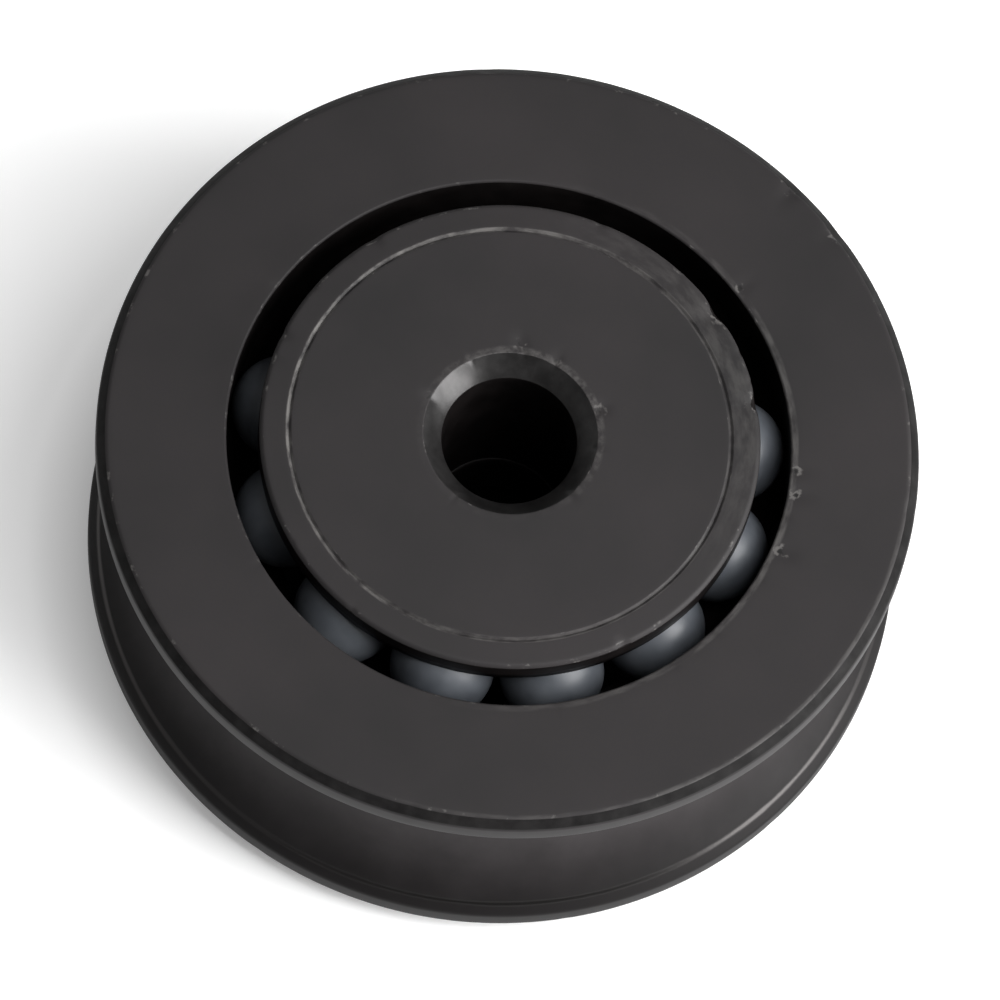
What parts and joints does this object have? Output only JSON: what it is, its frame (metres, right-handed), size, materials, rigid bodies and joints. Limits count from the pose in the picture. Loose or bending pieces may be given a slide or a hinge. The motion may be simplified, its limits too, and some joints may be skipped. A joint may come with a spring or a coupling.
{
  "type": "v groove wheel",
  "caption": "Turned steel track wheel with a round-bottomed V groove, running on loose bearing balls about a chamfered hub that is bored for an axle bolt.",
  "frame": {"origin": "on the bore's axis, halfway between the wheel's two faces", "axes": "+Z along the bore, out of the face with the upper row of balls; +X towards the last ball of that row"},
  "size_m": [0.05, 0.05, 0.0198],
  "materials": {
    "rim_steel": "turned, chemically blackened, lightly oiled",
    "hub_steel": "turned, chemically blackened, blacking worn to bright steel on the edges",
    "ball_steel": "polished bearing steel under a film of oil"
  },
  "bodies": {
    "hub": {"hub_upper": "hub_steel", "hub_lower": "hub_steel"},
    "wheel": {"grooved_rim": "rim_steel"},
    "upper_balls": {"ball_upper_1": "ball_steel", "ball_upper_2": "ball_steel", "ball_upper_3": "ball_steel", "ball_upper_4": "ball_steel", "ball_upper_5": "ball_steel", "ball_upper_6": "ball_steel", "ball_upper_7": "ball_steel", "ball_upper_8": "ball_steel"},
    "lower_balls": {"ball_lower_1": "ball_steel", "ball_lower_2": "ball_steel", "ball_lower_3": "ball_steel", "ball_lower_4": "ball_steel", "ball_lower_5": "ball_steel", "ball_lower_6": "ball_steel", "ball_lower_7": "ball_steel", "ball_lower_8": "ball_steel"}
  },
  "joints": [
    {"name": "wheel_spin", "type": "hinge", "parent": "hub", "child": "wheel", "pos_m": [0, 0, 0], "axis": [0, 0, 1], "continuous": true},
    {"name": "upper_row_orbit", "type": "hinge", "parent": "hub", "child": "upper_balls", "pos_m": [0, 0, 0], "axis": [0, 0, 1], "continuous": true},
    {"name": "lower_row_orbit", "type": "hinge", "parent": "hub", "child": "lower_balls", "pos_m": [0, 0, 0], "axis": [0, 0, 1], "continuous": true}
  ],
  "couplings": [
    {"joint": "upper_row_orbit", "follows": "wheel_spin", "ratio": 0.581},
    {"joint": "lower_row_orbit", "follows": "wheel_spin", "ratio": 0.581}
  ]
}
